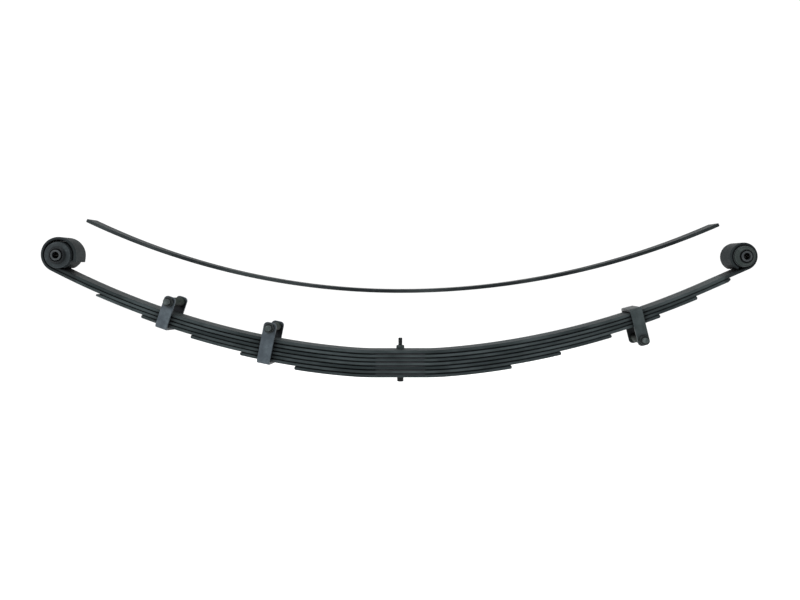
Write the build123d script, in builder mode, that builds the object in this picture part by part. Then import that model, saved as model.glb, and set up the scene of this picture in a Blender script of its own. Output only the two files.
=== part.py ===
"""Rear leaf spring pack: seven stacked leaves with rolled eyes, three clamps, and a loose extra leaf.

Millimetres.  +X runs along the spring, +Y across its width, +Z up.  The origin is on the centre bolt's
axis, at the underside of the lowest leaf, where the pack sits on its axle.
"""
import os
from math import asin, atan2, cos, degrees, hypot, pi, radians, sin, tan

from build123d import *

# ---- driving dimensions ---------------------------------------------------------------------------
LEFT = -1
RIGHT = 1

LEAF_WIDTH = 60.0
LEAF_THICKNESS = 6.0
LINER_THICKNESS = 1.2          # plate between two leaves, on the flat seat only
LEAF_COUNT = 7
SEAT_HALF = 45.0               # half the flat length that the axle is clamped to

SHOULDER_RADIUS = {LEFT: 528.0, RIGHT: 466.0}      # tight bend that leaves the seat
SHOULDER_ANGLE = {LEFT: 4.62, RIGHT: 4.48}
CAMBER_RADIUS = {LEFT: 1420.0, RIGHT: 1455.0}      # long bend out to the eye
CAMBER_END_ANGLE = {LEFT: 27.1, RIGHT: 23.8}      # slope of the short run into the eye

EYE_X = {LEFT: 614.2, RIGHT: 617.6}                # eye centre, out from the centre bolt
EYE_OUTER_RADIUS = 25.2
EYE_TIP_GAP_ANGLE = 7.0                            # the curl stops this far short of the leaf
WRAP_CLEARANCE = 0.6                               # how much larger the wrap's bend is than the eye
WRAP_OFFSET = 0.8                                  # and how far its centre is set outwards
WRAP_END_ANGLE = -8.0                              # the wrap leaves its arc here, inner side of the eye
WRAP_TAIL = 9.0                                    # straight end of the wrap

# where each leaf's lower corner ends, out from the centre bolt
TIP_X = {
    LEFT: {3: 549.0, 4: 468.0, 5: 379.0, 6: 290.0, 7: 192.0},
    RIGHT: {2: 596.0, 3: 536.0, 4: 469.5, 5: 382.0, 6: 291.0, 7: 202.0},
}
# space left under the leaf above, at each leaf's tip: the longer leaves are pulled together
TIP_GAP = {2: 0.30, 3: 0.15, 4: 0.15, 5: 0.30, 6: 0.70, 7: 1.00}
# bevels over and under a tip, each as (height, length)
BLUNT_TIP = ((0.5, 0.5), (1.0, 1.5))
SHAPED_TIPS = {
    (LEFT, 3): ((3.0, 13.0), (0.8, 1.0)),
    (RIGHT, 2): ((0.5, 0.5), (2.2, 6.0)),
}
TIP_CORNER = 2.0                                   # plan corners cut off each tip

EXTRA_TOP_RADIUS = {LEFT: 1307.0, RIGHT: 1425.0}
EXTRA_TIP_X = {LEFT: 565.0, RIGHT: 574.0}
EXTRA_BOTTOM_Z = 152.9                             # the loose leaf stands clear above the pack

BOLT_RADIUS = 4.0
BOLT_HOLE_RADIUS = 4.3
BOLT_TOP_Z = 70.4
DOWEL_RADIUS = 6.0                                 # round bolt head that locates the axle seat
DOWEL_HEIGHT = 10.0
CENTRE_NUT_FLATS = 13.0
CENTRE_NUT_HEIGHT = 8.0
CENTRE_NUT_FLANGE_RADIUS = 7.9
CENTRE_NUT_FLANGE_THICKNESS = 1.6
SPOT_FACE_DEPTH = 0.3          # shallow seats cut for the bolt's head and nut
DOWEL_SEAT_RADIUS = 7.2
NUT_SEAT_RADIUS = 8.5
THREAD_CLEARANCE = 0.02
THREAD_CHAMFER = 0.8

BUSH_CLEARANCE = 0.05
SLEEVE_INNER_RADIUS = 6.1
SLEEVE_OUTER_RADIUS = 9.5
SLEEVE_LENGTH = 92.0
SLEEVE_CHAMFER = 0.7
BUSH_HALF_GAP = 0.5            # each bush half stops this short of the middle of the eye
# a bush's plug, flange and hub end this far out from the leaves' edges; the right ones have only a
# collar that is narrower than the eye's bore in place of a flange
BUSH_PLUG_END = 0.05
BUSH_FLANGE_END = {LEFT: 6.05, RIGHT: 8.0}
BUSH_HUB_END = 12.55
BUSH_FLANGE_RADIUS = {LEFT: 23.4, RIGHT: 18.6}
BUSH_HUB_BASE_RADIUS = {LEFT: 17.0, RIGHT: 16.6}
BUSH_HUB_TIP_RADIUS = 13.2
BUSH_RECESS_RADIUS = 11.4
BUSH_RECESS_DEPTH = 4.0

STRAP_THICKNESS = 5.5
STRAP_SIDE_GAP = 2.5           # between a strap's leg and the leaves' edges
STRAP_SEAT_GAP = 0.1
STRAP_CORNER = 7.0
STRAP_END_CORNER = 7.0
CLAMP_BOLT_INSET = 10.0        # bolt axis, in from the legs' ends
CLAMP_BOLT_RADIUS = 5.0
CLAMP_HOLE_RADIUS = 5.4
CLAMP_NUT_FLATS = 16.0
CLAMP_NUT_HEIGHT = 8.0
CLAMP_HEAD_HEIGHT = 6.4
CLAMP_BOLT_OVERHANG = 21.0     # thread that stands out past the front leg
SPACER_RADIUS = 8.0
RIVET_RADIUS = 4.0
RIVET_HOLE_RADIUS = 4.3
RIVET_HEAD_RADIUS = 7.0
RIVET_HEAD_HEIGHT = 3.6
RIVET_SINK_RADIUS = 6.4
RIVET_SINK_DEPTH = 2.2
RIVET_SINK_GAP = 0.15

# name: side, distance out along X, lowest leaf inside, strap width, how far the legs pass the far
# side of the leaves, twist in plan, lean towards the spring's middle, strap on top
CLAMPS = {
    "outer_left_clamp": (LEFT, 424.0, 4, 21.5, 29.5, 5.0, 0.0, False),
    "inner_left_clamp": (LEFT, 242.5, 6, 23.5, 29.5, 4.0, 0.0, False),
    "right_clamp": (RIGHT, 423.5, 4, 21.5, 37.5, 0.0, 4.0, True),
}
LEAF_NAMES = {
    1: "main_leaf",
    2: "second_leaf",
    3: "third_leaf",
    4: "fourth_leaf",
    5: "fifth_leaf",
    6: "sixth_leaf",
    7: "seventh_leaf",
}

# ---- worked out from them -------------------------------------------------------------------------
PITCH = LEAF_THICKNESS + LINER_THICKNESS
STACK_HEIGHT = PITCH * (LEAF_COUNT - 1) + LEAF_THICKNESS
HALF_WIDTH = LEAF_WIDTH / 2
EYE_BORE_RADIUS = EYE_OUTER_RADIUS - LEAF_THICKNESS
WRAP_INNER_RADIUS = EYE_OUTER_RADIUS + TIP_GAP[2] + WRAP_CLEARANCE
WRAP_OUTER_RADIUS = WRAP_INNER_RADIUS + LEAF_THICKNESS


# ---- the leaf curve -------------------------------------------------------------------------------
# A knot is (x, z, angle) on a leaf's top curve, with x counted outwards from the centre bolt.
def seat_top(leaf):
    """Height of a leaf's top face on the flat seat."""
    return STACK_HEIGHT - PITCH * (leaf - 1)


def shoulder_end(side, leaf):
    """The knot where a leaf's shoulder bend meets its long camber bend."""
    angle = radians(SHOULDER_ANGLE[side])
    radius = SHOULDER_RADIUS[side] + PITCH * (leaf - 1)
    return (SEAT_HALF + radius * sin(angle), seat_top(leaf) + radius * (1 - cos(angle)), angle)


def tip_angle(side, leaf, radius):
    """Slope of a leaf at the end of its camber bend, for a given radius of that bend."""
    end = radians(CAMBER_END_ANGLE[side])
    if leaf not in TIP_X[side]:
        return end
    start = radians(SHOULDER_ANGLE[side])
    reach = TIP_X[side][leaf] - shoulder_end(side, leaf)[0]
    return min(end, asin((reach + radius * sin(start)) / (radius + LEAF_THICKNESS)))


def camber(side, leaf):
    """Camber radius and end angle of a leaf.

    Each leaf is rolled a little tighter than the one above, by as much as closes the liner's gap
    down to TIP_GAP at its own tip.
    """
    radius = CAMBER_RADIUS[side]
    for number in range(2, leaf + 1):
        turned = tip_angle(side, number, radius + PITCH) - radians(SHOULDER_ANGLE[side])
        radius += (LEAF_THICKNESS + TIP_GAP[number] - PITCH * cos(turned)) / (1 - cos(turned))
    return radius, tip_angle(side, leaf, radius)


def knot_at(side, leaf, x):
    """The knot of a leaf's camber bend at a distance x out from the centre bolt."""
    radius, _ = camber(side, leaf)
    x0, z0, start = shoulder_end(side, leaf)
    angle = asin((x - x0) / radius + sin(start))
    return (x, z0 + radius * (cos(start) - cos(angle)), angle)


def below(side, knot, depth):
    """The point that lies a depth under a knot, square to the leaf, as (X, Z)."""
    x, z, angle = knot
    return (side * (x + depth * sin(angle)), z - depth * cos(angle))


def after_bend(knot, radius, end_angle):
    """The knot that a bend of the top curve ends at."""
    x, z, start = knot
    return (x + radius * (sin(end_angle) - sin(start)),
            z + radius * (cos(start) - cos(end_angle)), end_angle)


def after_straight(knot, length):
    """The knot that a straight run of the top curve ends at."""
    x, z, angle = knot
    return (x + length * cos(angle), z + length * sin(angle), angle)


def bend(side, knot, radius, end_angle, depth):
    """Draw a bend from a knot to an end angle, a depth under the top curve; return its end knot."""
    middle = after_bend(knot, radius, (knot[2] + end_angle) / 2)
    end = after_bend(knot, radius, end_angle)
    ThreePointArc(below(side, knot, depth), below(side, middle, depth), below(side, end, depth))
    return end


def straight(side, knot, length, depth):
    """Draw a straight run on from a knot, a depth under the top curve; return its end knot."""
    end = after_straight(knot, length)
    Line(below(side, knot, depth), below(side, end, depth))
    return end


def eye_centre(side):
    """The centre of an eye, as (X, Z)."""
    end = run_to_eye(side, 1)
    return below(side, end, LEAF_THICKNESS - EYE_OUTER_RADIUS)


def run_to_eye(side, leaf):
    """The knot where a leaf's straight run meets its eye or its wrap."""
    radius, angle = camber(side, leaf)
    end = after_bend(shoulder_end(side, leaf), radius, angle)
    foot_x = EYE_X[side] + EYE_BORE_RADIUS * sin(angle)
    if leaf > 1:
        foot_x = EYE_X[side] + WRAP_OFFSET + (WRAP_INNER_RADIUS - WRAP_CLEARANCE) * sin(angle)
    return after_straight(end, (foot_x - end[0]) / cos(angle))


def wrap_centre(side):
    """The centre of the wrap's bend, as (X, Z)."""
    return below(side, run_to_eye(side, 2), -WRAP_INNER_RADIUS)


def last_run(side, leaf, cut):
    """End angle of a leaf's camber bend and length of the straight run after it.

    The cut is how far short of the leaf's end face its edge stops.
    """
    radius, angle = camber(side, leaf)
    end = after_bend(shoulder_end(side, leaf), radius, angle)
    if leaf not in TIP_X[side]:
        target = run_to_eye(side, leaf)
        return angle, hypot(target[0] - end[0], target[1] - end[1])
    if angle < radians(CAMBER_END_ANGLE[side]):
        return angle - cut / radius, 0.0
    run = (TIP_X[side][leaf] - end[0] - LEAF_THICKNESS * sin(angle)) / cos(angle)
    return angle, run - cut


def edge_end(side, leaf, cut):
    """The knot that an edge ends at, a cut short of the leaf's end face."""
    radius, _ = camber(side, leaf)
    angle, run = last_run(side, leaf, cut)
    return after_straight(after_bend(shoulder_end(side, leaf), radius, angle), run)


def draw_edge(side, leaf, depth, cut):
    """Draw one edge of a leaf from the centre bolt outwards, a depth under its top curve."""
    seat_end = (SEAT_HALF, seat_top(leaf), 0.0)
    Line((0, seat_top(leaf) - depth), below(side, seat_end, depth))
    shoulder_radius = SHOULDER_RADIUS[side] + PITCH * (leaf - 1)
    knot = bend(side, seat_end, shoulder_radius, radians(SHOULDER_ANGLE[side]), depth)
    radius, _ = camber(side, leaf)
    angle, run = last_run(side, leaf, cut)
    knot = bend(side, knot, radius, angle, depth)
    if run > 0:
        straight(side, knot, run, depth)


def curl(side, centre, radius, start_angle, end_angle):
    """Draw an arc about an eye, from the leaf outwards and over the top, as seen on the right side."""
    first, last = start_angle, end_angle
    if side == LEFT:
        first, last = 180 - start_angle, 180 - end_angle
    CenterArc(centre, radius, first, last - first)


def on_circle(side, centre, radius, angle):
    """The point at an angle, in degrees, about an eye, with angles counted as on the right side."""
    return (centre[0] + side * radius * cos(radians(angle)), centre[1] + radius * sin(radians(angle)))


def close_tip(side, tip, top_end, bottom_end, bevels):
    """Draw an end face at the knot tip, and the bevels over and under it from where the edges end."""
    (over_height, _), (under_height, _) = bevels
    face_top = below(side, tip, over_height)
    face_foot = below(side, tip, LEAF_THICKNESS - under_height)
    Line(below(side, top_end, 0), face_top)
    Line(face_top, face_foot)
    Line(face_foot, below(side, bottom_end, LEAF_THICKNESS))


def close_eye(side):
    """Draw the main leaf's eye: it curls up and over, and back down almost to the leaf."""
    centre = eye_centre(side)
    start = CAMBER_END_ANGLE[side] - 90
    # angle at which the leaf's own top face cuts the eye's outer circle, on the inner side
    touch = start - degrees(pi / 2 - asin(EYE_BORE_RADIUS / EYE_OUTER_RADIUS))
    end = touch + 360 - EYE_TIP_GAP_ANGLE
    curl(side, centre, EYE_BORE_RADIUS, start, end)
    curl(side, centre, EYE_OUTER_RADIUS, start, end)
    Line(on_circle(side, centre, EYE_BORE_RADIUS, end), on_circle(side, centre, EYE_OUTER_RADIUS, end))


def close_wrap(side):
    """Draw the second leaf's wrap: it goes round outside the eye and ends in a short straight tail."""
    centre = wrap_centre(side)
    start = CAMBER_END_ANGLE[side] - 90
    end = 180 - WRAP_END_ANGLE
    ends = []
    for radius in (WRAP_INNER_RADIUS, WRAP_OUTER_RADIUS):
        curl(side, centre, radius, start, end)
        x, z = on_circle(side, centre, radius, end)
        tail = (x - side * WRAP_TAIL * sin(radians(end)), z + WRAP_TAIL * cos(radians(end)))
        Line((x, z), tail)
        ends.append(tail)
    Line(*ends)


def build_leaf(leaf):
    """One leaf: its side profile drawn in XZ, pushed out to the width, drilled and trimmed."""
    cutters = [tip_cutter(side, TIP_X[side][leaf]) for side in (LEFT, RIGHT) if leaf in TIP_X[side]]
    if leaf == 1:
        cutters.append(spot_face_cutter(NUT_SEAT_RADIUS, STACK_HEIGHT))
    if leaf == LEAF_COUNT:
        cutters.append(spot_face_cutter(DOWEL_SEAT_RADIUS, 0.0))
    for name, (_, _, lowest, _, _, _, _, on_top) in CLAMPS.items():
        if lowest == leaf and not on_top:
            cutters.append(rivet_cutter(name))
    with BuildPart() as body:
        with BuildSketch(Plane.XZ):
            with BuildLine():
                for side in (LEFT, RIGHT):
                    over_cut, under_cut = 0.0, 0.0
                    if leaf in TIP_X[side]:
                        bevels = SHAPED_TIPS.get((side, leaf), BLUNT_TIP)
                        over_cut, under_cut = bevels[0][1], bevels[1][1]
                        close_tip(side, edge_end(side, leaf, 0), edge_end(side, leaf, over_cut),
                                  edge_end(side, leaf, under_cut), bevels)
                    elif leaf == 1:
                        close_eye(side)
                    else:
                        close_wrap(side)
                    draw_edge(side, leaf, 0, over_cut)
                    draw_edge(side, leaf, LEAF_THICKNESS, under_cut)
            make_face()
        extrude(amount=HALF_WIDTH, both=True)
        with BuildSketch(Plane.XY):
            Circle(BOLT_HOLE_RADIUS)
        extrude(amount=STACK_HEIGHT + 1, mode=Mode.SUBTRACT)
        for cutter in cutters:
            add(cutter, mode=Mode.SUBTRACT)
    return body


def tip_cutter(side, tip_x):
    """What is cut off a leaf's tip: its two corners in plan."""
    with BuildPart() as cutter:
        with BuildSketch(Plane.XY.offset(-STACK_HEIGHT)):
            for edge in (-1, 1):
                with BuildLine():
                    Polyline(
                        (side * (tip_x - TIP_CORNER), edge * HALF_WIDTH),
                        (side * (tip_x + TIP_CORNER), edge * (HALF_WIDTH - 2 * TIP_CORNER)),
                        (side * (tip_x + TIP_CORNER), edge * (HALF_WIDTH + 1)),
                        (side * (tip_x - TIP_CORNER), edge * (HALF_WIDTH + 1)),
                        close=True,
                    )
                make_face()
        extrude(amount=10 * STACK_HEIGHT)
    return cutter.part


def spot_face_cutter(radius, height):
    """What is cut for a shallow round seat about the centre bolt, on both sides of a height."""
    with BuildPart() as cutter:
        with BuildSketch(Plane.XY.offset(height)):
            Circle(radius)
        extrude(amount=SPOT_FACE_DEPTH, both=True)
    return cutter.part


def rivet_cutter(name):
    """What is drilled and countersunk out of the leaf that a clamp is riveted to."""
    plane = clamp_plane(name)
    with BuildPart() as cutter:
        with BuildSketch(plane.offset(-LEAF_THICKNESS)):
            Circle(RIVET_HOLE_RADIUS)
        extrude(amount=3 * LEAF_THICKNESS)
        with BuildSketch(plane.offset(LEAF_THICKNESS - RIVET_SINK_DEPTH - RIVET_SINK_GAP)):
            Circle(RIVET_SINK_RADIUS + RIVET_SINK_GAP)
        extrude(amount=LEAF_THICKNESS)
    return cutter.part


# ---- clamps ---------------------------------------------------------------------------------------
# A clamp's plane has its origin on the leaf face that the strap lies against, x along the leaf,
# y towards the back and z the way the legs reach.
def clamp_plane(name):
    """The plane that a clamp is drawn in."""
    side, x, lowest, width, _, twist, lean, on_top = CLAMPS[name]
    seat_gap = STRAP_SEAT_GAP + width / 2 * sin(radians(lean))
    if on_top:
        knot = knot_at(side, 1, x)
        origin_x, origin_z = below(side, knot, -seat_gap)
    else:
        knot = knot_at(side, lowest, x)
        origin_x, origin_z = below(side, knot, LEAF_THICKNESS + seat_gap)
    slope = side * (knot[2] - radians(lean))
    turn = radians(twist)
    along = Vector(cos(slope), 0, sin(slope)) * cos(turn) - Vector(0, 1, 0) * sin(turn)
    normal = Vector(-sin(slope), 0, cos(slope))
    if on_top:
        along, normal = -along, -normal
    return Plane(origin=(origin_x, 0, origin_z), x_dir=along, z_dir=normal)


def clamped_height(name):
    """Height of the leaves inside a clamp, square to them."""
    side, x, lowest = CLAMPS[name][:3]
    top_x, top_z = below(side, knot_at(side, 1, x), 0)
    low_x, low_z = below(side, knot_at(side, lowest, x), LEAF_THICKNESS)
    slope = knot_at(side, lowest, x)[2]
    return (top_z - low_z) * cos(slope) - side * (top_x - low_x) * sin(slope)


def leg_end(name):
    """How far a clamp's legs reach from the face that its strap lies against."""
    return clamped_height(name) + CLAMPS[name][4]


def across(plane, height):
    """The plane square to a clamp's bolt, at a height up the legs, facing the back."""
    origin = plane.origin + plane.z_dir * height
    return Plane(origin=origin, x_dir=plane.x_dir, z_dir=-plane.y_dir)


def build_strap(name):
    """The flat bar bent into a U, with rounded leg ends, bolt holes and a rivet hole."""
    _, _, _, width, _, _, _, on_top = CLAMPS[name]
    plane = clamp_plane(name)
    inside = HALF_WIDTH + STRAP_SIDE_GAP
    outside = inside + STRAP_THICKNESS
    top = leg_end(name)
    with BuildPart() as body:
        with BuildSketch(Plane(origin=plane.origin, x_dir=plane.y_dir, z_dir=plane.x_dir)):
            with Locations((0, (top - STRAP_THICKNESS) / 2)):
                outer = Rectangle(2 * outside, top + STRAP_THICKNESS)
            fillet(outer.vertices().group_by(Axis.Y)[0], STRAP_CORNER)
            with Locations((0, top / 2)):
                Rectangle(2 * inside, top, mode=Mode.SUBTRACT)
        extrude(amount=width / 2, both=True)
        with BuildSketch(across(plane, 0)):
            with Locations((0, (top - STRAP_THICKNESS) / 2)):
                side_view = Rectangle(width, top + STRAP_THICKNESS)
            fillet(side_view.vertices().group_by(Axis.Y)[-1], STRAP_END_CORNER)
        extrude(amount=2 * outside, both=True, mode=Mode.INTERSECT)
        with BuildSketch(across(plane, top - CLAMP_BOLT_INSET)):
            Circle(CLAMP_HOLE_RADIUS)
        extrude(amount=2 * outside, both=True, mode=Mode.SUBTRACT)
        if not on_top:
            with BuildSketch(plane.offset(-2 * STRAP_THICKNESS)):
                Circle(RIVET_RADIUS)
            extrude(amount=3 * STRAP_THICKNESS, mode=Mode.SUBTRACT)
    return body


def build_spacer(name):
    """The tube between the legs, which the bolt passes through."""
    plane = clamp_plane(name)
    with BuildPart() as body:
        with BuildSketch(across(plane, leg_end(name) - CLAMP_BOLT_INSET)):
            Circle(SPACER_RADIUS)
            Circle(CLAMP_HOLE_RADIUS, mode=Mode.SUBTRACT)
        extrude(amount=HALF_WIDTH + STRAP_SIDE_GAP, both=True)
    return body


def build_clamp_bolt(name):
    """The clamp's bolt: hexagon head at the back, thread standing out at the front."""
    plane = across(clamp_plane(name), leg_end(name) - CLAMP_BOLT_INSET)
    face = HALF_WIDTH + STRAP_SIDE_GAP + STRAP_THICKNESS
    front_end = face + CLAMP_BOLT_OVERHANG
    with BuildPart() as body:
        with BuildSketch(plane.offset(-face)):
            Circle(CLAMP_BOLT_RADIUS)
        extrude(amount=face + front_end)
        chamfer(body.faces().sort_by(Axis(plane.origin, plane.z_dir))[-1].edges(), THREAD_CHAMFER)
        with BuildSketch(plane.offset(-face)):
            RegularPolygon(CLAMP_NUT_FLATS / 2, 6, major_radius=False)
        extrude(amount=-CLAMP_HEAD_HEIGHT)
    return body


def build_clamp_nut(name):
    """The clamp's nut, against the front leg."""
    plane = across(clamp_plane(name), leg_end(name) - CLAMP_BOLT_INSET)
    with BuildPart() as body:
        with BuildSketch(plane.offset(HALF_WIDTH + STRAP_SIDE_GAP + STRAP_THICKNESS)):
            RegularPolygon(CLAMP_NUT_FLATS / 2, 6, major_radius=False)
            Circle(CLAMP_BOLT_RADIUS + THREAD_CLEARANCE, mode=Mode.SUBTRACT)
        extrude(amount=CLAMP_NUT_HEIGHT)
    return body


def build_rivet(name):
    """The rivet that holds a strap to its lowest leaf: domed head below, countersunk head above."""
    plane = clamp_plane(name)
    section = Plane(origin=plane.origin, x_dir=plane.x_dir, z_dir=-plane.y_dir)
    head_face = -STRAP_THICKNESS
    top = STRAP_SEAT_GAP + LEAF_THICKNESS - RIVET_SINK_GAP
    with BuildPart() as body:
        with BuildSketch(section):
            with BuildLine():
                Polyline(
                    (RIVET_HEAD_RADIUS, head_face),
                    (RIVET_RADIUS, head_face),
                    (RIVET_RADIUS, top - RIVET_SINK_DEPTH),
                    (RIVET_SINK_RADIUS, top - RIVET_SINK_DEPTH + 1),
                    (RIVET_SINK_RADIUS, top),
                    (0, top),
                    (0, head_face - RIVET_HEAD_HEIGHT),
                )
                ThreePointArc(
                    (0, head_face - RIVET_HEAD_HEIGHT),
                    (0.75 * RIVET_HEAD_RADIUS, head_face - 0.6 * RIVET_HEAD_HEIGHT),
                    (RIVET_HEAD_RADIUS, head_face),
                )
            make_face()
        revolve(axis=Axis(plane.origin, plane.z_dir))
    return body


# ---- centre bolt, nut and liners ------------------------------------------------------------------
def build_centre_bolt():
    """The bolt that locates the leaves: round dowel head below, stud above."""
    with BuildPart() as body:
        with BuildSketch(Plane.XY):
            Circle(BOLT_RADIUS)
        extrude(amount=BOLT_TOP_Z)
        chamfer(body.faces().sort_by(Axis.Z)[-1].edges(), THREAD_CHAMFER)
        with BuildSketch(Plane.XY.offset(SPOT_FACE_DEPTH)):
            Circle(DOWEL_RADIUS)
        extrude(amount=-DOWEL_HEIGHT - SPOT_FACE_DEPTH)
    return body


def build_centre_nut():
    """The flanged nut on top of the main leaf."""
    seat = Plane.XY.offset(STACK_HEIGHT - SPOT_FACE_DEPTH)
    with BuildPart() as body:
        with BuildSketch(seat):
            Circle(CENTRE_NUT_FLANGE_RADIUS)
        extrude(amount=CENTRE_NUT_FLANGE_THICKNESS)
        with BuildSketch(seat):
            RegularPolygon(CENTRE_NUT_FLATS / 2, 6, major_radius=False, rotation=30)
        extrude(amount=CENTRE_NUT_HEIGHT)
        with BuildSketch(seat):
            Circle(BOLT_RADIUS + THREAD_CLEARANCE)
        extrude(amount=CENTRE_NUT_HEIGHT, mode=Mode.SUBTRACT)
    return body


def build_liner(leaf):
    """The thin plate on the flat seat, under a leaf."""
    with BuildPart() as body:
        with BuildSketch(Plane.XY.offset(seat_top(leaf) - PITCH)):
            Rectangle(2 * SEAT_HALF, LEAF_WIDTH)
            Circle(BOLT_HOLE_RADIUS, mode=Mode.SUBTRACT)
        extrude(amount=LINER_THICKNESS)
    return body


# ---- bushes and sleeves ---------------------------------------------------------------------------
def build_bush(side, face):
    """Half a bush: plug in the eye, flange or collar, and a conical hub recessed round the sleeve."""
    x, z = eye_centre(side)
    bore = SLEEVE_OUTER_RADIUS + BUSH_CLEARANCE
    plug = EYE_BORE_RADIUS - BUSH_CLEARANCE
    flange = BUSH_FLANGE_RADIUS[side]
    plug_end = HALF_WIDTH + BUSH_PLUG_END
    flange_end = HALF_WIDTH + BUSH_FLANGE_END[side]
    hub_end = HALF_WIDTH + BUSH_HUB_END
    with BuildPart() as body:
        with BuildSketch(Plane(origin=(x, 0, z), x_dir=(1, 0, 0), z_dir=(0, 0, 1))):
            with BuildLine():
                Polyline(
                    (bore, face * BUSH_HALF_GAP),
                    (plug, face * BUSH_HALF_GAP),
                    (plug, face * plug_end),
                    (flange, face * plug_end),
                    (flange, face * flange_end),
                    (BUSH_HUB_BASE_RADIUS[side], face * flange_end),
                    (BUSH_HUB_TIP_RADIUS, face * hub_end),
                    (BUSH_RECESS_RADIUS, face * hub_end),
                    (BUSH_RECESS_RADIUS, face * (hub_end - BUSH_RECESS_DEPTH)),
                    (bore, face * (hub_end - BUSH_RECESS_DEPTH)),
                    close=True,
                )
            make_face()
        revolve(axis=Axis((x, 0, z), (0, 1, 0)))
    return body


def build_sleeve(side):
    """The steel tube that the shackle or hanger bolt passes through."""
    x, z = eye_centre(side)
    with BuildPart() as body:
        with BuildSketch(Plane(origin=(x, 0, z), x_dir=(1, 0, 0), z_dir=(0, -1, 0))):
            Circle(SLEEVE_OUTER_RADIUS)
            Circle(SLEEVE_INNER_RADIUS, mode=Mode.SUBTRACT)
        extrude(amount=SLEEVE_LENGTH / 2, both=True)
        ends = body.faces().filter_by(Axis.Y)
        chamfer([face.outer_wire().edges()[0] for face in ends], SLEEVE_CHAMFER)
    return body


# ---- the loose extra leaf -------------------------------------------------------------------------
def build_extra_leaf():
    """The full-length leaf that stands loose above the pack: one plain bend each side."""
    middle = (0, EXTRA_BOTTOM_Z + LEAF_THICKNESS, 0.0)
    over_cut, under_cut = BLUNT_TIP[0][1], BLUNT_TIP[1][1]
    cutters = [tip_cutter(side, EXTRA_TIP_X[side]) for side in (LEFT, RIGHT)]
    with BuildPart() as body:
        with BuildSketch(Plane.XZ):
            with BuildLine():
                for side in (LEFT, RIGHT):
                    radius = EXTRA_TOP_RADIUS[side]
                    angle = asin(EXTRA_TIP_X[side] / (radius + LEAF_THICKNESS))
                    tip = after_bend(middle, radius, angle)
                    top_end = bend(side, middle, radius, angle - over_cut / radius, 0)
                    bottom_end = bend(side, middle, radius, angle - under_cut / radius, LEAF_THICKNESS)
                    close_tip(side, tip, top_end, bottom_end, BLUNT_TIP)
            make_face()
        extrude(amount=HALF_WIDTH, both=True)
        with BuildSketch(Plane.XY.offset(EXTRA_BOTTOM_Z - 1)):
            Circle(BOLT_HOLE_RADIUS)
        extrude(amount=2 * LEAF_THICKNESS, mode=Mode.SUBTRACT)
        for cutter in cutters:
            add(cutter, mode=Mode.SUBTRACT)
    return body


# ---- write every piece ----------------------------------------------------------------------------
def save(body, name):
    body.part.label = name
    export_step(body.part, f"parts/{name}.step")


def main():
    os.makedirs("parts", exist_ok=True)
    for leaf, name in LEAF_NAMES.items():
        save(build_leaf(leaf), name)
    save(build_extra_leaf(), "extra_leaf")
    save(build_centre_bolt(), "centre_bolt")
    save(build_centre_nut(), "centre_nut")
    for leaf in range(1, LEAF_COUNT):
        save(build_liner(leaf), f"seat_liner_{leaf}")
    for side, word in ((LEFT, "left"), (RIGHT, "right")):
        save(build_bush(side, -1), f"{word}_bush_front")
        save(build_bush(side, 1), f"{word}_bush_rear")
        save(build_sleeve(side), f"{word}_sleeve")
    for name in CLAMPS:
        save(build_strap(name), f"{name}_strap")
        save(build_spacer(name), f"{name}_spacer")
        save(build_clamp_bolt(name), f"{name}_bolt")
        save(build_clamp_nut(name), f"{name}_nut")
        if not CLAMPS[name][-1]:
            save(build_rivet(name), f"{name}_rivet")


main()
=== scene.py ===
from collections import namedtuple
from math import acos, asin, ceil, cos, floor, pi, radians, sin, sqrt

import bpy
from mathutils import Matrix, Vector


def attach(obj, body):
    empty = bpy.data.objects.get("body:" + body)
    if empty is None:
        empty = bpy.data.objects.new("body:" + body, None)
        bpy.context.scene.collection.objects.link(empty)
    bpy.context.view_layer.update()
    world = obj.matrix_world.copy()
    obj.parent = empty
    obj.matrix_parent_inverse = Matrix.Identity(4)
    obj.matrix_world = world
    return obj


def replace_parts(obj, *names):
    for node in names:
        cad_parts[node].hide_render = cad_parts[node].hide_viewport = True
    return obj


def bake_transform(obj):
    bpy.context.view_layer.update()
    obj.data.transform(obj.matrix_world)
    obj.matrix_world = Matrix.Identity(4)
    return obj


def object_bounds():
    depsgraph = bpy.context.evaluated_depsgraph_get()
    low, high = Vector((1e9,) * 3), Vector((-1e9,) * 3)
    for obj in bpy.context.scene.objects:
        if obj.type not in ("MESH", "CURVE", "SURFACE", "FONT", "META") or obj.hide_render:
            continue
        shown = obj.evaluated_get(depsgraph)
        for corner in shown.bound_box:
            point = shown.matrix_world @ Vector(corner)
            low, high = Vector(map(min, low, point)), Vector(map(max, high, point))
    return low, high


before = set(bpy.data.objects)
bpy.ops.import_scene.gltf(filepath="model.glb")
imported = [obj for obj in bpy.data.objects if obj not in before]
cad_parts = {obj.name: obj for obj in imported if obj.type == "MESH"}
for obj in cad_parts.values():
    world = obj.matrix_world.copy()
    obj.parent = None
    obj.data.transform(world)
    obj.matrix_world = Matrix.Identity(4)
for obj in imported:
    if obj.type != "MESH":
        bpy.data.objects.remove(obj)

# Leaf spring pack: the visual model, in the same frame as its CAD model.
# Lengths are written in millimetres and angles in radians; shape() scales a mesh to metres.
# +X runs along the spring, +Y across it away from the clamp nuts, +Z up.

cad_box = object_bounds()

MM = 0.001
LEFT = -1
RIGHT = 1
SIDE_WORD = {LEFT: "left", RIGHT: "right"}

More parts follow.
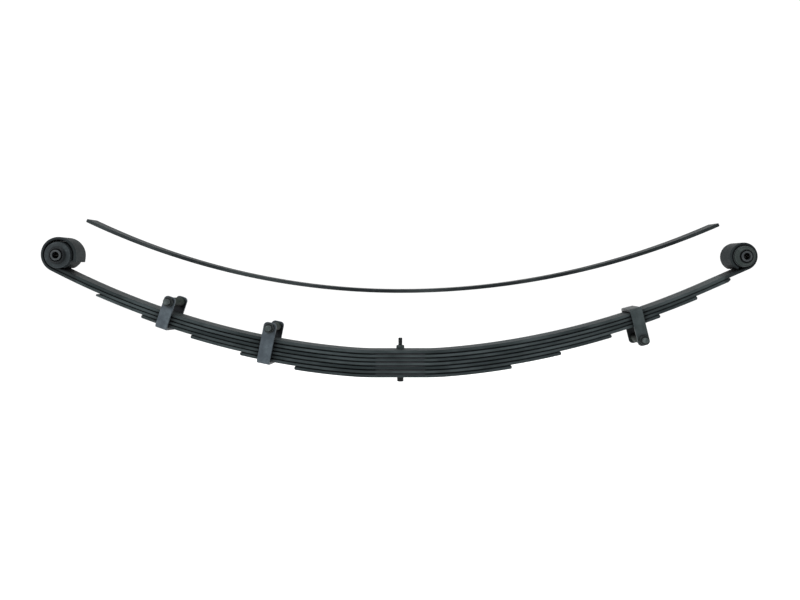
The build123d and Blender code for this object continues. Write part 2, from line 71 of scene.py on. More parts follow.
# ---- dimensions of the spring ---------------------------------------------------------------------
HALF_WIDTH = 30.0
LEAF_THICKNESS = 6.0
LINER_THICKNESS = 1.2
PITCH = LEAF_THICKNESS + LINER_THICKNESS
LEAF_COUNT = 7
STACK_HEIGHT = PITCH * (LEAF_COUNT - 1) + LEAF_THICKNESS
SEAT_HALF = 45.0
SHOULDER_RADIUS = {LEFT: 528.0, RIGHT: 466.0}
SHOULDER_ANGLE = {LEFT: radians(4.62), RIGHT: radians(4.48)}
CAMBER_RADIUS = {LEFT: 1420.0, RIGHT: 1455.0}
CAMBER_END_ANGLE = {LEFT: radians(27.1), RIGHT: radians(23.8)}
EYE_X = {LEFT: 614.2, RIGHT: 617.6}
EYE_OUTER_RADIUS = 25.2
EYE_BORE_RADIUS = EYE_OUTER_RADIUS - LEAF_THICKNESS
EYE_TIP_GAP_ANGLE = radians(7.0)
TIP_X = {
    LEFT: {3: 549.0, 4: 468.0, 5: 379.0, 6: 290.0, 7: 192.0},
    RIGHT: {2: 596.0, 3: 536.0, 4: 469.5, 5: 382.0, 6: 291.0, 7: 202.0},
}
TIP_GAP = {2: 0.30, 3: 0.15, 4: 0.15, 5: 0.30, 6: 0.70, 7: 1.00}
# bevels over and under a tip, each as (height, length)
BLUNT_TIP = ((0.7, 0.8), (1.2, 1.6))
SHAPED_TIPS = {
    (LEFT, 3): ((3.1, 13.0), (1.0, 1.2)),
    (RIGHT, 2): ((0.7, 0.8), (2.4, 6.0)),
}
PLAIN_END = ((0.5, 0.5), (0.5, 0.5))               # of an eye's curl or a wrap
TIP_CORNER = 2.0
END_ROUNDING = 0.7
WRAP_CLEARANCE = 0.6
WRAP_OFFSET = 0.8
WRAP_INNER_RADIUS = EYE_OUTER_RADIUS + TIP_GAP[2] + WRAP_CLEARANCE
WRAP_END_ANGLE = radians(-8.0)
WRAP_TAIL = 9.0

EXTRA_TOP_RADIUS = {LEFT: 1307.0, RIGHT: 1425.0}
EXTRA_TIP_X = {LEFT: 565.0, RIGHT: 574.0}
EXTRA_BOTTOM_Z = 152.9

EYE_DARKENING_START = 580.0        # the colour turns darker towards the eyes from here
EYE_DARKENING_FULL = 586.0         # and is fully dark here

LEAF_CORNER = 2.8              # rounded long edges
SKIN_INSET = 0.1               # the drawn underside of a leaf stays this far inside the CAD one
EXTRA_CORNER = 0.6             # the same on the loose leaf
LEAF_EDGE_STEPS = 6
LEAF_KNOT_SPACING = 9.0
LINER_CORNER = 0.2
LINER_EDGE_STEPS = 2
CENTRE_HOLE_RADIUS = 4.3

LEAF_NODES = {
    1: "main_leaf",
    2: "second_leaf",
    3: "third_leaf",
    4: "fourth_leaf",
    5: "fifth_leaf",
    6: "sixth_leaf",
    7: "seventh_leaf",
}

# side, distance out along X, lowest leaf inside, strap width, how far the legs pass the far side of
# the leaves, twist in plan, lean towards the spring's middle, whether the strap lies on top
Clamp = namedtuple("Clamp", "side x lowest_leaf width legs_past twist lean on_top")
CLAMPS = {
    "outer_left_clamp": Clamp(LEFT, 424.0, 4, 21.5, 29.5, radians(5.0), 0.0, False),
    "inner_left_clamp": Clamp(LEFT, 242.5, 6, 23.5, 29.5, radians(4.0), 0.0, False),
    "right_clamp": Clamp(RIGHT, 423.5, 4, 21.5, 37.5, 0.0, radians(4.0), True),
}
STRAP_THICKNESS = 5.5
STRAP_SIDE_GAP = 2.5
STRAP_SEAT_GAP = 0.1
STRAP_INNER_BEND = 1.5
STRAP_END_CORNER = 7.0
STRAP_END_STEPS = 7
STRAP_END_ROUNDING = 0.54      # how much each face dips at a leg's end
STRAP_END_ROUNDING_LENGTH = 0.5
STRAP_EDGE = 0.9
STRAP_EDGE_STEPS = 3
STRAP_KNOT_SPACING = 12.0
CLAMP_BOLT_INSET = 10.0
CLAMP_BOLT_RADIUS = 5.0
CLAMP_BOLT_OVERHANG = 21.0
CLAMP_BOLT_PITCH = 1.5
CLAMP_BOLT_PLAIN = 1.0         # length without thread in front of the strap
CLAMP_NUT_FLATS = 16.0
CLAMP_NUT_HEIGHT = 8.0
CLAMP_HEAD_HEIGHT = 6.4
WASHER_RADIUS = 8.7
WASHER_THICKNESS = 1.3
WASHER_ROUNDING = 0.4
WASHER_BORE_RADIUS = CLAMP_BOLT_RADIUS + 0.05
SPACER_RADIUS = 8.0
SPACER_BORE_RADIUS = CLAMP_BOLT_RADIUS + 0.1
SPACER_END_GAP = 0.05
SPACER_ROUNDING = 0.5
RIVET_HEAD_RADIUS = 7.0
RIVET_HEAD_HEIGHT = 3.6
RIVET_RADIUS = 4.0
RIVET_CROWN_RADIUS = 0.4       # the flat in the middle of the head
RIVET_SHANK_TOP = 3.0
RIVET_STEPS = 8

BOLT_RADIUS = 4.0
BOLT_TOP_Z = 70.4
BOLT_PITCH = 1.25
BOLT_THREAD_START = STACK_HEIGHT + 2.0
CENTRE_NUT_FLATS = 13.0
CENTRE_NUT_TOP = STACK_HEIGHT + 7.7
CENTRE_NUT_TURN = radians(12)
FLANGE_RADIUS = 7.9
FLANGE_TOP = STACK_HEIGHT + 1.3
FLANGE_SHOULDER = STACK_HEIGHT + 0.6
FLANGE_BEVEL = (0.3, 0.4)      # under its rim, as (inwards, upwards)
FLANGE_RIM_TAPER = 0.2
FLANGE_OVERLAP = 0.1           # its top reaches this far in under the hexagon
DOWEL_RADIUS = 6.0
DOWEL_HEIGHT = 10.0
DOWEL_BEVEL = 1.0
DOWEL_BEVEL_MIDDLE = 0.3
SPOT_FACE_DEPTH = 0.3
DOWEL_SEAT_RADIUS = 7.2
NUT_SEAT_RADIUS = 8.5
REST_GAP = 0.02                # kept between pieces that rest on or screw onto each other
CUT_MARGIN = 5.0               # how far a drilling tool passes the surface

SLEEVE_OUTER_RADIUS = 9.5
SLEEVE_INNER_RADIUS = 6.1
SLEEVE_HALF_LENGTH = 46.0
SLEEVE_ROUNDING = 0.6
BUSH_BORE_RADIUS = 9.55
BUSH_PLUG_RADIUS = 19.15
BUSH_PLUG_END = 30.05
BUSH_FLANGE_RADIUS = {LEFT: 23.4, RIGHT: 18.6}
BUSH_FLANGE_END = {LEFT: 36.05, RIGHT: 38.0}
BUSH_HUB_BASE_RADIUS = {LEFT: 17.0, RIGHT: 16.6}
BUSH_HUB_TIP_RADIUS = 13.2
BUSH_HUB_END = 42.55
BUSH_RECESS_RADIUS = 11.4
BUSH_RECESS_DEPTH = 4.0
BUSH_HALF_GAP = 0.5
BUSH_ROUNDING = 1.1
EYE_SEGMENTS = 96


# ---- curves ---------------------------------------------------------------------------------------
# A knot is (x, z, angle): a point on a curve and the curve's slope there.  Leaves are drawn as their
# right side would be and mirrored by side.
BEND_STEP_ANGLE = radians(6.0)
BEND_LEAST_STEP = 0.05


def after_bend(knot, radius, end_angle):
    x, z, start = knot
    return (x + radius * (sin(end_angle) - sin(start)),
            z + radius * (cos(start) - cos(end_angle)), end_angle)


def after_straight(knot, length):
    x, z, angle = knot
    return (x + length * cos(angle), z + length * sin(angle), angle)


def below(knot, depth):
    """The point a depth to the right-hand side of the way a curve runs, as (x, z)."""
    x, z, angle = knot
    return (x + depth * sin(angle), z - depth * cos(angle))


def bend(radius, end_angle):
    """A move along a bend of this radius until the slope is end_angle."""
    return ("bend", radius, end_angle)


def straight(length):
    """A move straight on."""
    return ("straight", length, 0.0)


def trace(start, moves, step):
    """Knots along a chain of moves, no further apart than step, each with its distance so far.

    On a tight bend they are closer: one for each BEND_STEP_ANGLE turned.
    """
    knots = [(start, 0.0)]
    for kind, size, end_angle in moves:
        knot, travelled = knots[-1]
        length = size if kind == "straight" else size * abs(end_angle - knot[2])
        largest = step if kind == "straight" else min(step, size * BEND_STEP_ANGLE + BEND_LEAST_STEP)
        pieces = max(1, ceil(length / largest))
        for number in range(1, pieces + 1):
            part = number / pieces
            if kind == "straight":
                reached = after_straight(knot, size * part)
            else:
                reached = after_bend(knot, size, knot[2] + (end_angle - knot[2]) * part)
            knots.append((reached, travelled + length * part))
    return knots


# ---- the leaf curves, as in the CAD model ---------------------------------------------------------
def seat_top(leaf):
    return STACK_HEIGHT - PITCH * (leaf - 1)


def shoulder_end(side, leaf):
    seat_end = (SEAT_HALF, seat_top(leaf), 0.0)
    return after_bend(seat_end, SHOULDER_RADIUS[side] + PITCH * (leaf - 1), SHOULDER_ANGLE[side])


def tip_angle(side, leaf, radius):
    """Slope of a leaf at the end of its camber bend, for a given radius of that bend."""
    if leaf not in TIP_X[side]:
        return CAMBER_END_ANGLE[side]
    reach = TIP_X[side][leaf] - shoulder_end(side, leaf)[0]
    needed = (reach + radius * sin(SHOULDER_ANGLE[side])) / (radius + LEAF_THICKNESS)
    return min(CAMBER_END_ANGLE[side], asin(needed))


def camber(side, leaf):
    """Camber radius and end angle of a leaf: each is rolled a little tighter than the one above."""
    radius = CAMBER_RADIUS[side]
    for number in range(2, leaf + 1):
        turned = tip_angle(side, number, radius + PITCH) - SHOULDER_ANGLE[side]
        radius += (LEAF_THICKNESS + TIP_GAP[number] - PITCH * cos(turned)) / (1 - cos(turned))
    return radius, tip_angle(side, leaf, radius)


def last_run(side, leaf):
    """Length of the straight run at the end of a leaf, before its eye, its wrap or its tip."""
    radius, angle = camber(side, leaf)
    end_x = after_bend(shoulder_end(side, leaf), radius, angle)[0]
    if leaf in TIP_X[side]:
        if angle < CAMBER_END_ANGLE[side]:
            return 0.0
        return (TIP_X[side][leaf] - end_x - LEAF_THICKNESS * sin(angle)) / cos(angle)
    foot_x = EYE_X[side] + EYE_BORE_RADIUS * sin(angle)
    if leaf > 1:
        foot_x = EYE_X[side] + WRAP_OFFSET + (WRAP_INNER_RADIUS - WRAP_CLEARANCE) * sin(angle)
    return (foot_x - end_x) / cos(angle)


def leaf_moves(side, leaf):
    """The moves along one side of a leaf's top face, from the centre bolt out."""
    radius, angle = camber(side, leaf)
    moves = [
        straight(SEAT_HALF),
        bend(SHOULDER_RADIUS[side] + PITCH * (leaf - 1), SHOULDER_ANGLE[side]),
        bend(radius, angle),
    ]
    run = last_run(side, leaf)
    if run > 0:
        moves.append(straight(run))
    if leaf in TIP_X[side]:
        return moves
    if leaf == 1:
        touch = acos(EYE_BORE_RADIUS / EYE_OUTER_RADIUS)
        moves.append(bend(EYE_BORE_RADIUS, angle + 2 * pi - touch - EYE_TIP_GAP_ANGLE))
    else:
        moves.append(bend(WRAP_INNER_RADIUS, pi - WRAP_END_ANGLE + pi / 2))
        moves.append(straight(WRAP_TAIL))
    return moves


def eye_centre(side):
    """The centre of an eye, as (X, Z)."""
    radius, angle = camber(side, 1)
    foot = after_straight(after_bend(shoulder_end(side, 1), radius, angle), last_run(side, 1))
    x, z = below(foot, -EYE_BORE_RADIUS)
    return (side * x, z)


# ---- meshes ---------------------------------------------------------------------------------------
def shape(name, vertices, faces, body, slot, material, crease=radians(40)):
    """A shown piece made from vertices in millimetres, riding on a CAD body unless body is None."""
    mesh = bpy.data.meshes.new(name)
    mesh.from_pydata([[value * MM for value in vertex] for vertex in vertices], [], faces)
    mesh.validate()
    mesh.update()
    mesh.shade_smooth()
    mesh.set_sharp_from_angle(angle=crease)
    mesh.materials.append(material)
    obj = bpy.data.objects.new(name, mesh)
    bpy.context.scene.collection.objects.link(obj)
    if body:
        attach(obj, body)
    return obj


def skin(rings, closed_loop=False):
    """Faces that join rings of equal length; the first and last ring are capped unless they meet."""
    count = len(rings[0])
    vertices = [point for ring in rings for point in ring]
    faces = []
    last = len(rings) if closed_loop else len(rings) - 1
    for index in range(last):
        here = index * count
        there = (index + 1) % len(rings) * count
        for corner in range(count):
            beside = (corner + 1) % count
            faces.append((here + corner, here + beside, there + beside, there + corner))
    if not closed_loop:
        faces.append(tuple(reversed(range(count))))
        faces.append(tuple(range(last * count, last * count + count)))
    return vertices, faces


def outward(vertices, faces):
    """The same faces, all turned outwards: a closed shell has a positive volume."""
    volume = 0.0
    for face in faces:
        first = Vector(vertices[face[0]])
        for one, two in zip(face[1:], face[2:]):
            volume += first.dot(Vector(vertices[one]).cross(Vector(vertices[two])))
    if volume < 0:
        faces = [tuple(reversed(face)) for face in faces]
    return vertices, faces


def together(*shells):
    """Several closed shells as one list of vertices and faces."""
    vertices, faces = [], []
    for shell_vertices, shell_faces in shells:
        offset = len(vertices)
        vertices.extend(shell_vertices)
        faces.extend(tuple(offset + index for index in face) for face in shell_faces)
    return vertices, faces


def placed(matrix, shell):
    """A shell moved by a matrix."""
    vertices, faces = shell
    return outward([matrix @ Vector(vertex) for vertex in vertices], faces)


def rounded_section(half_width, top, bottom, corner, steps):
    """Points (across, depth) round a bar's section, with a support point beside each corner."""
    corner = min(corner, 0.48 * (bottom - top), 0.48 * half_width)
    support = 0.5 * min(corner, 0.5 * (bottom - top) - corner + 0.02)
    points = []
    centres = (
        (half_width - corner, bottom - corner, 0.0),
        (-half_width + corner, bottom - corner, 0.5 * pi),
        (-half_width + corner, top + corner, pi),
        (half_width - corner, top + corner, 1.5 * pi),
    )
    for across, depth, turn in centres:
        points.append((across + corner * cos(turn) + support * sin(turn),
                       depth + corner * sin(turn) - support * cos(turn)))
        for number in range(steps + 1):
            angle = turn + 0.5 * pi * number / steps
            points.append((across + corner * cos(angle), depth + corner * sin(angle)))
        end = turn + 0.5 * pi
        points.append((across + corner * cos(end) - support * sin(end),
                       depth + corner * sin(end) + support * cos(end)))
    return points


def bar_rings(knots, width_at, span_at, corner, steps, place):
    """Rings of points round a flat bar along a curve.

    width_at and span_at give the half width and the (top, bottom) depths at a distance along;
    place turns (x, across, z) into a point.
    """
    rings = []
    for knot, distance in knots:
        top, bottom = span_at(distance)
        section = rounded_section(width_at(distance), top, bottom, corner, steps)
        ring = []
        for across, depth in section:
            x, z = below(knot, depth)
            ring.append(place(x, across, z))
        rings.append(ring)
    return rings


def bar(knots, width_at, span_at, corner, steps, place):
    """A flat bar along a curve, as a closed shell; its arguments are those of bar_rings."""
    return outward(*skin(bar_rings(knots, width_at, span_at, corner, steps, place)))


def on_side(side):
    """What places a point of a curve, drawn as on the right, on its own side of the spring."""
    return lambda x, across, z: (side * x, across, z)


def with_extra(knots, distances):
    """Knots with more added, in place, at given distances along."""
    result = list(knots)
    for wanted in distances:
        for index in range(len(result) - 1):
            (one, start), (two, end) = result[index], result[index + 1]
            if start + 0.01 < wanted < end - 0.01:
                part = (wanted - start) / (end - start)
                middle = tuple(a + (b - a) * part for a, b in zip(one, two))
                result.insert(index + 1, (middle, wanted))
                break
    return result


def fillet(points, radius, steps=4):
    """A closed outline with every corner rounded."""
    result = []
    count = len(points)
    for index in range(count):
        here = Vector(points[index])
        before = Vector(points[index - 1]) - here
        after = Vector(points[(index + 1) % count]) - here
        cut = min(radius, 0.45 * before.length, 0.45 * after.length)
        start = here + before.normalized() * cut
        end = here + after.normalized() * cut
        for number in range(steps + 1):
            part = number / steps
            result.append(tuple(start * (1 - part) ** 2 + here * 2 * part * (1 - part) + end * part ** 2))
    return result


def lathe(profile, segments=72):
    """A closed outline of (radius, height) turned about Z, as a closed shell."""
    rings = []
    for number in range(segments):
        angle = 2 * pi * number / segments
        rings.append([(radius * cos(angle), radius * sin(angle), height) for radius, height in profile])
    return outward(*skin(rings, closed_loop=True))


def stack(profile, segments=72):
    """A solid of revolution about Z from its (radius, height) side, flat at both ends."""
    rings = []
    for radius, height in profile:
        rings.append([(radius * cos(2 * pi * number / segments),
                       radius * sin(2 * pi * number / segments), height) for number in range(segments)])
    return outward(*skin(rings))


def threaded_rod(radius, pitch, start, thread_start, end, segments=32):
    """A round bar along Z with a screw thread from thread_start to its chamfered end."""
    depth = 0.55 * pitch
    heights = [start, thread_start - 0.01]
    count = ceil((end - thread_start) / (pitch / 6))
    heights += [thread_start + (end - thread_start) * number / count for number in range(count + 1)]
    rings = []
    for height in heights:
        ring = []
        for number in range(segments):
            turn = number / segments
            phase = (height - thread_start) / pitch - turn
            groove = abs(2 * (phase - floor(phase)) - 1)
            fade = min(1.0, max(0.0, (height - thread_start) / pitch))
            limit = radius - max(0.0, pitch - (end - height))
            here = min(radius - depth * groove * fade, limit)
            ring.append((here * cos(2 * pi * turn), here * sin(2 * pi * turn), height))
        rings.append(ring)
    return outward(*skin(rings))


def hexagon_radius(angle, flats):
    """Distance from the centre to a hexagon's side."""
    third = pi / 3
    return 0.5 * flats / cos((angle % third) - third / 2)


def hexagon_nut(flats, bottom, top, bore, segments=72):
    """A hexagon nut along Z with chamfered corners on both faces; bore 0 gives a bolt head."""
    chamfer_radius = 0.475 * flats
    slope = 0.55
    angles = [2 * pi * number / segments for number in range(segments)]

    def loop(radius_of, height_of):
        return [(radius_of(angle) * cos(angle), radius_of(angle) * sin(angle), height_of(angle))
                for angle in angles]

    def corner(angle):
        return hexagon_radius(angle, flats)

    def drop(angle):
        return slope * max(0.0, corner(angle) - chamfer_radius)

    inner = bore if bore else 0.3 * flats
    lead = 0.6 if bore else 0.0
    rings = [
        loop(lambda angle: inner + lead, lambda angle: bottom),
        loop(lambda angle: chamfer_radius, lambda angle: bottom),
        loop(corner, lambda angle: bottom + drop(angle)),
        loop(corner, lambda angle: top - drop(angle)),
        loop(lambda angle: chamfer_radius, lambda angle: top),
        loop(lambda angle: inner + lead, lambda angle: top),
    ]
    if not bore:
        return outward(*skin(rings))
    rings.append(loop(lambda angle: inner, lambda angle: top - lead))
    rings.append(loop(lambda angle: inner, lambda angle: bottom + lead))
    return outward(*skin(rings, closed_loop=True))


def drill(obj, radius, bottom, top):
    """Cut a round hole along Z through a piece, at the centre bolt's place."""
    vertices, faces = stack([(radius, bottom), (radius, top)], 48)
    mesh = bpy.data.meshes.new("hole")
    mesh.from_pydata([[value * MM for value in vertex] for vertex in vertices], [], faces)
    tool = bpy.data.objects.new("hole", mesh)
    bpy.context.scene.collection.objects.link(tool)
    cut = obj.modifiers.new("hole", "BOOLEAN")
    cut.operation = "DIFFERENCE"
    cut.solver = "EXACT"
    cut.object = tool
    bpy.context.view_layer.update()
    result = bpy.data.meshes.new_from_object(obj.evaluated_get(bpy.context.evaluated_depsgraph_get()))
    obj.modifiers.clear()
    obj.data = result
    bpy.data.objects.remove(tool)


# ---- materials ------------------------------------------------------------------------------------
def rgb(red, green, blue):
    return (red, green, blue, 1.0)


# the dark and the light tone that each surface is mottled with
LEAF_TONES = (                 # of even and odd leaves
    (rgb(0.017, 0.022, 0.023), rgb(0.039, 0.049, 0.051)),
    (rgb(0.015, 0.020, 0.021), rgb(0.035, 0.044, 0.046)),
)
EXTRA_LEAF_TONES = (rgb(0.008, 0.010, 0.011), rgb(0.024, 0.029, 0.030))
# painted light: one strap paint in a lit copy for the left straps and a shaded copy for the right strap
LIT_LEFT_STRAP_TONES = (rgb(0.034, 0.043, 0.051), rgb(0.057, 0.071, 0.081))
SHADED_RIGHT_STRAP_TONES = (rgb(0.021, 0.028, 0.029), rgb(0.035, 0.044, 0.046))
NUT_TONES = (rgb(0.008, 0.010, 0.010), rgb(0.020, 0.025, 0.025))
BOLT_TONES = (rgb(0.028, 0.036, 0.036), rgb(0.062, 0.074, 0.074))
TUBE_TONES = (rgb(0.010, 0.015, 0.012), rgb(0.022, 0.031, 0.026))
LEFT_BUSH_TONES = (rgb(0.016, 0.020, 0.022), rgb(0.048, 0.058, 0.062))
RIGHT_BUSH_TONES = (rgb(0.020, 0.026, 0.025), rgb(0.056, 0.068, 0.068))
SLEEVE_TONES = (rgb(0.022, 0.026, 0.028), rgb(0.042, 0.047, 0.050))
LINER_TONES = (rgb(0.016, 0.018, 0.020), rgb(0.036, 0.039, 0.043))


class Nodes:
    """A material's node tree, with short calls for the nodes used here."""

    def __init__(self, name):
        self.material = bpy.data.materials.new(name)
        self.material.use_nodes = True
        self.tree = self.material.node_tree
        self.tree.nodes.clear()
        self.place = self.add("ShaderNodeTexCoord").outputs["Object"]
        self.geometry = self.add("ShaderNodeNewGeometry")

    def add(self, kind, **settings):
        node = self.tree.nodes.new(kind)
        for key, value in settings.items():
            setattr(node, key, value)
        return node

    def plug(self, socket, value):
        """Link an output, or set a plain value, on an input."""
        if isinstance(value, bpy.types.NodeSocket):
            self.tree.links.new(value, socket)
        else:
            socket.default_value = value

    def noise(self, scale, detail, roughness, stretch=(1, 1, 1), seed=0.0):
        """Noise over the piece, from 0 to 1; scale is in features per metre."""
        mapping = self.add("ShaderNodeMapping")
        self.plug(mapping.inputs["Vector"], self.place)
        mapping.inputs["Scale"].default_value = stretch
        mapping.inputs["Location"].default_value = (seed, 2 * seed, 3 * seed)
        node = self.add("ShaderNodeTexNoise")
        self.plug(node.inputs["Vector"], mapping.outputs["Vector"])
        node.inputs["Scale"].default_value = scale
        node.inputs["Detail"].default_value = detail
        node.inputs["Roughness"].default_value = roughness
        return node.outputs["Fac"]

    def spread(self, value, low, high, to_low=0.0, to_high=1.0):
        """Map a range of values onto another, clamped and eased at both ends."""
        node = self.add("ShaderNodeMapRange", interpolation_type="SMOOTHSTEP")
        self.plug(node.inputs["Value"], value)
        node.inputs["From Min"].default_value = low
        node.inputs["From Max"].default_value = high
        node.inputs["To Min"].default_value = to_low
        node.inputs["To Max"].default_value = to_high
        return node.outputs["Result"]

    def maths(self, operation, one, two=0.0):
        """One sum on two values; some operations use only the first."""
        node = self.add("ShaderNodeMath", operation=operation)
        self.plug(node.inputs[0], one)
        self.plug(node.inputs[1], two)
        return node.outputs["Value"]

    def weighted_sum(self, one, weight_one, two, weight_two):
        part_one = self.maths("MULTIPLY", one, weight_one)
        part_two = self.maths("MULTIPLY", two, weight_two)
        return self.maths("ADD", part_one, part_two)

    def mix(self, amount, one, two):
        """Mix two colours."""
        node = self.add("ShaderNodeMix", data_type="RGBA")
        self.plug(node.inputs["Factor"], amount)
        self.plug(node.inputs["A"], one)
        self.plug(node.inputs["B"], two)
        return node.outputs["Result"]

    def edges(self, radius):
        """How sharply the surface turns within a radius in metres: 0 on a flat, more on an edge."""
        bevel = self.add("ShaderNodeBevel", samples=6)
        bevel.inputs["Radius"].default_value = radius
        dot = self.add("ShaderNodeVectorMath", operation="DOT_PRODUCT")
        self.plug(dot.inputs[0], bevel.outputs["Normal"])
        self.plug(dot.inputs[1], self.geometry.outputs["True Normal"])
        return self.maths("SUBTRACT", 1.0, dot.outputs["Value"])

    def painted_shade(self, colour, reach):
        """A colour darkened by painted shade in gaps and bores, where the surface is hemmed in within a
        reach in metres.
        """
        shelter = self.add("ShaderNodeAmbientOcclusion", samples=8)
        shelter.inputs["Distance"].default_value = reach
        # painted shade: the less open the surface is within the reach, the nearer the colour goes to
        # near-black
        painted_shade_amount = self.spread(shelter.outputs["AO"], 0.30, 0.96, 0.95, 0.0)
        return self.mix(painted_shade_amount, colour, rgb(0.004, 0.004, 0.005))

    def from_middle(self, axis):
        """Distance in metres from the spring's middle along one axis."""
        split = self.add("ShaderNodeSeparateXYZ")
        self.plug(split.inputs[0], self.place)
        return self.maths("ABSOLUTE", split.outputs[axis])

    def facing_up(self):
        """1 where the surface faces up, 0 where it is upright or faces down."""
        split = self.add("ShaderNodeSeparateXYZ")
        self.plug(split.inputs[0], self.geometry.outputs["Normal"])
        return self.spread(split.outputs["Z"], 0.35, 0.95)

    def finish(self, colour, roughness, height, relief, metallic, specular):
        """Wire up the surface: relief is the bump's depth in metres."""
        bump = self.add("ShaderNodeBump")
        bump.inputs["Strength"].default_value = 1.0
        bump.inputs["Distance"].default_value = relief
        self.plug(bump.inputs["Height"], height)
        surface = self.add("ShaderNodeBsdfPrincipled")
        self.plug(surface.inputs["Base Color"], colour)
        self.plug(surface.inputs["Roughness"], roughness)
        self.plug(surface.inputs["Metallic"], metallic)
        self.plug(surface.inputs["Normal"], bump.outputs["Normal"])
        self.plug(surface.inputs["Specular IOR Level"], specular)
        output = self.add("ShaderNodeOutputMaterial")
        self.plug(output.inputs["Surface"], surface.outputs["BSDF"])
        return self.material


def leaf_paint(name, tones, seed):
    """Black paint on rolled spring steel: streaked, rubbed at the edges, dusty on top, darker eyes, with
    painted shade in the gaps.
    """
    nodes = Nodes(name)
    mottle = nodes.noise(22.0, 5.0, 0.6, (0.5, 1, 1), seed)
    grain = nodes.noise(900.0, 3.0, 0.6, seed=seed)
    streaks = nodes.noise(160.0, 3.0, 0.6, (0.06, 1, 1), seed)
    colour = nodes.mix(nodes.spread(mottle, 0.35, 0.68), *tones)
    patches = nodes.spread(nodes.noise(55.0, 6.0, 0.65, seed=seed + 5), 0.42, 0.75, 0.0, 0.18)
    dust = nodes.maths("MULTIPLY", nodes.facing_up(), patches)
    colour = nodes.mix(dust, colour, rgb(0.075, 0.08, 0.084))
    marks = nodes.noise(420.0, 2.0, 0.5, (0.05, 1, 0.7), seed + 9)
    scratches = nodes.spread(marks, 0.70, 0.76, 0.0, 0.3)
    colour = nodes.mix(scratches, colour, rgb(0.06, 0.065, 0.07))
    rubbed = nodes.maths("MULTIPLY", nodes.spread(nodes.edges(0.0016), 0.04, 0.30),
                         nodes.spread(nodes.noise(75.0, 6.0, 0.7, seed=seed + 3), 0.50, 0.68))
    colour = nodes.mix(nodes.maths("MULTIPLY", rubbed, 0.45), colour, rgb(0.09, 0.096, 0.10))
    # the colour turns darker towards the eyes
    at_eye = nodes.spread(nodes.from_middle("X"), EYE_DARKENING_START * MM, EYE_DARKENING_FULL * MM, 0.0, 0.70)
    colour = nodes.mix(at_eye, colour, rgb(0.010, 0.012, 0.013))
    # painted shade: the colour darkens in the gaps between the leaves and next to the bush flanges
    colour = nodes.painted_shade(colour, 0.018)
    roughness = nodes.spread(nodes.weighted_sum(mottle, 0.6, streaks, 0.4), 0.3, 0.7, 0.50, 0.66)
    height = nodes.weighted_sum(grain, 0.6, streaks, 0.8)
    bare = nodes.maths("MULTIPLY", rubbed, 0.3)
    return nodes.finish(colour, roughness, height, 0.00010, bare, 0.04)


def clamp_paint(name, tones, seed):
    """Thinner, greyer paint on the bent straps."""
    nodes = Nodes(name)
    mottle = nodes.noise(60.0, 6.0, 0.62, seed=seed)
    grain = nodes.noise(1100.0, 3.0, 0.6, seed=seed + 1)
    colour = nodes.mix(nodes.spread(mottle, 0.35, 0.68), *tones)
    specks = nodes.spread(nodes.noise(520.0, 2.0, 0.5, seed=seed + 3), 0.68, 0.76, 0.0, 0.6)
    colour = nodes.mix(specks, colour, rgb(0.018, 0.020, 0.022))
    rubbed = nodes.maths("MULTIPLY", nodes.spread(nodes.edges(0.0014), 0.05, 0.35),
                         nodes.spread(nodes.noise(140.0, 5.0, 0.7, seed=seed + 5), 0.46, 0.64))
    colour = nodes.mix(nodes.maths("MULTIPLY", rubbed, 0.6), colour, rgb(0.16, 0.168, 0.175))
    # painted shade: the colour darkens inside the strap's U and where it meets the leaves
    colour = nodes.painted_shade(colour, 0.070)
    roughness = nodes.spread(mottle, 0.3, 0.7, 0.42, 0.60)
    return nodes.finish(colour, roughness, grain, 0.00012, nodes.maths("MULTIPLY", rubbed, 0.4), 0.10)


def fastener_steel(name, tones, specular, shade_reach, seed):
    """Phosphated bolts, nuts and tubes, worn on their corners, with painted shade in their hollows."""
    nodes = Nodes(name)
    mottle = nodes.noise(130.0, 5.0, 0.6, seed=seed)
    colour = nodes.mix(nodes.spread(mottle, 0.35, 0.7), *tones)
    wear_and_rim_highlight = nodes.maths("MULTIPLY", nodes.spread(nodes.edges(0.0009), 0.05, 0.35),
                       nodes.spread(nodes.noise(260.0, 4.0, 0.6, seed=seed + 2), 0.40, 0.62))
    colour = nodes.mix(nodes.maths("MULTIPLY", wear_and_rim_highlight, 0.7), colour, rgb(0.20, 0.205, 0.21))
    # painted shade: the colour darkens in hollows and under the parts, within the given reach
    colour = nodes.painted_shade(colour, shade_reach)
    roughness = nodes.spread(mottle, 0.3, 0.7, 0.44, 0.64)
    grain = nodes.noise(1600.0, 2.0, 0.5, seed=seed + 3)
    return nodes.finish(colour, roughness, grain, 0.00006, nodes.maths("MULTIPLY", wear_and_rim_highlight, 0.4), specular)


def rubber(name, tones, hub_start, seed):
    """Matt black rubber with bloom, a painted highlight along its rims, darker beyond hub_start metres
    from the middle, and painted shade in its hollows.
    """
    nodes = Nodes(name)
    mottle = nodes.noise(90.0, 6.0, 0.65, seed=seed)
    bloom = nodes.spread(mottle, 0.45, 0.75, 0.0, 0.6)
    colour = nodes.mix(bloom, *tones)
    # darker beyond hub_start from the middle, towards the hub's end
    hub_darkening = nodes.spread(nodes.from_middle("Y"), hub_start, hub_start + 0.002, 0.0, 0.85)
    colour = nodes.mix(hub_darkening, colour, rgb(0.006, 0.007, 0.008))
    # painted highlight: a light band along every rim of the rubber
    wear_and_rim_highlight = nodes.spread(nodes.edges(0.0020), 0.03, 0.25, 0.0, 0.75)
    colour = nodes.mix(wear_and_rim_highlight, colour, rgb(0.13, 0.145, 0.155))
    # painted shade: the colour darkens in the hub's recess and at the foot of the hub and flange
    colour = nodes.painted_shade(colour, 0.020)
    roughness = nodes.spread(mottle, 0.3, 0.7, 0.42, 0.66)
    grain = nodes.noise(1400.0, 3.0, 0.6, seed=seed + 1)
    return nodes.finish(colour, roughness, grain, 0.00010, 0.0, 0.08)


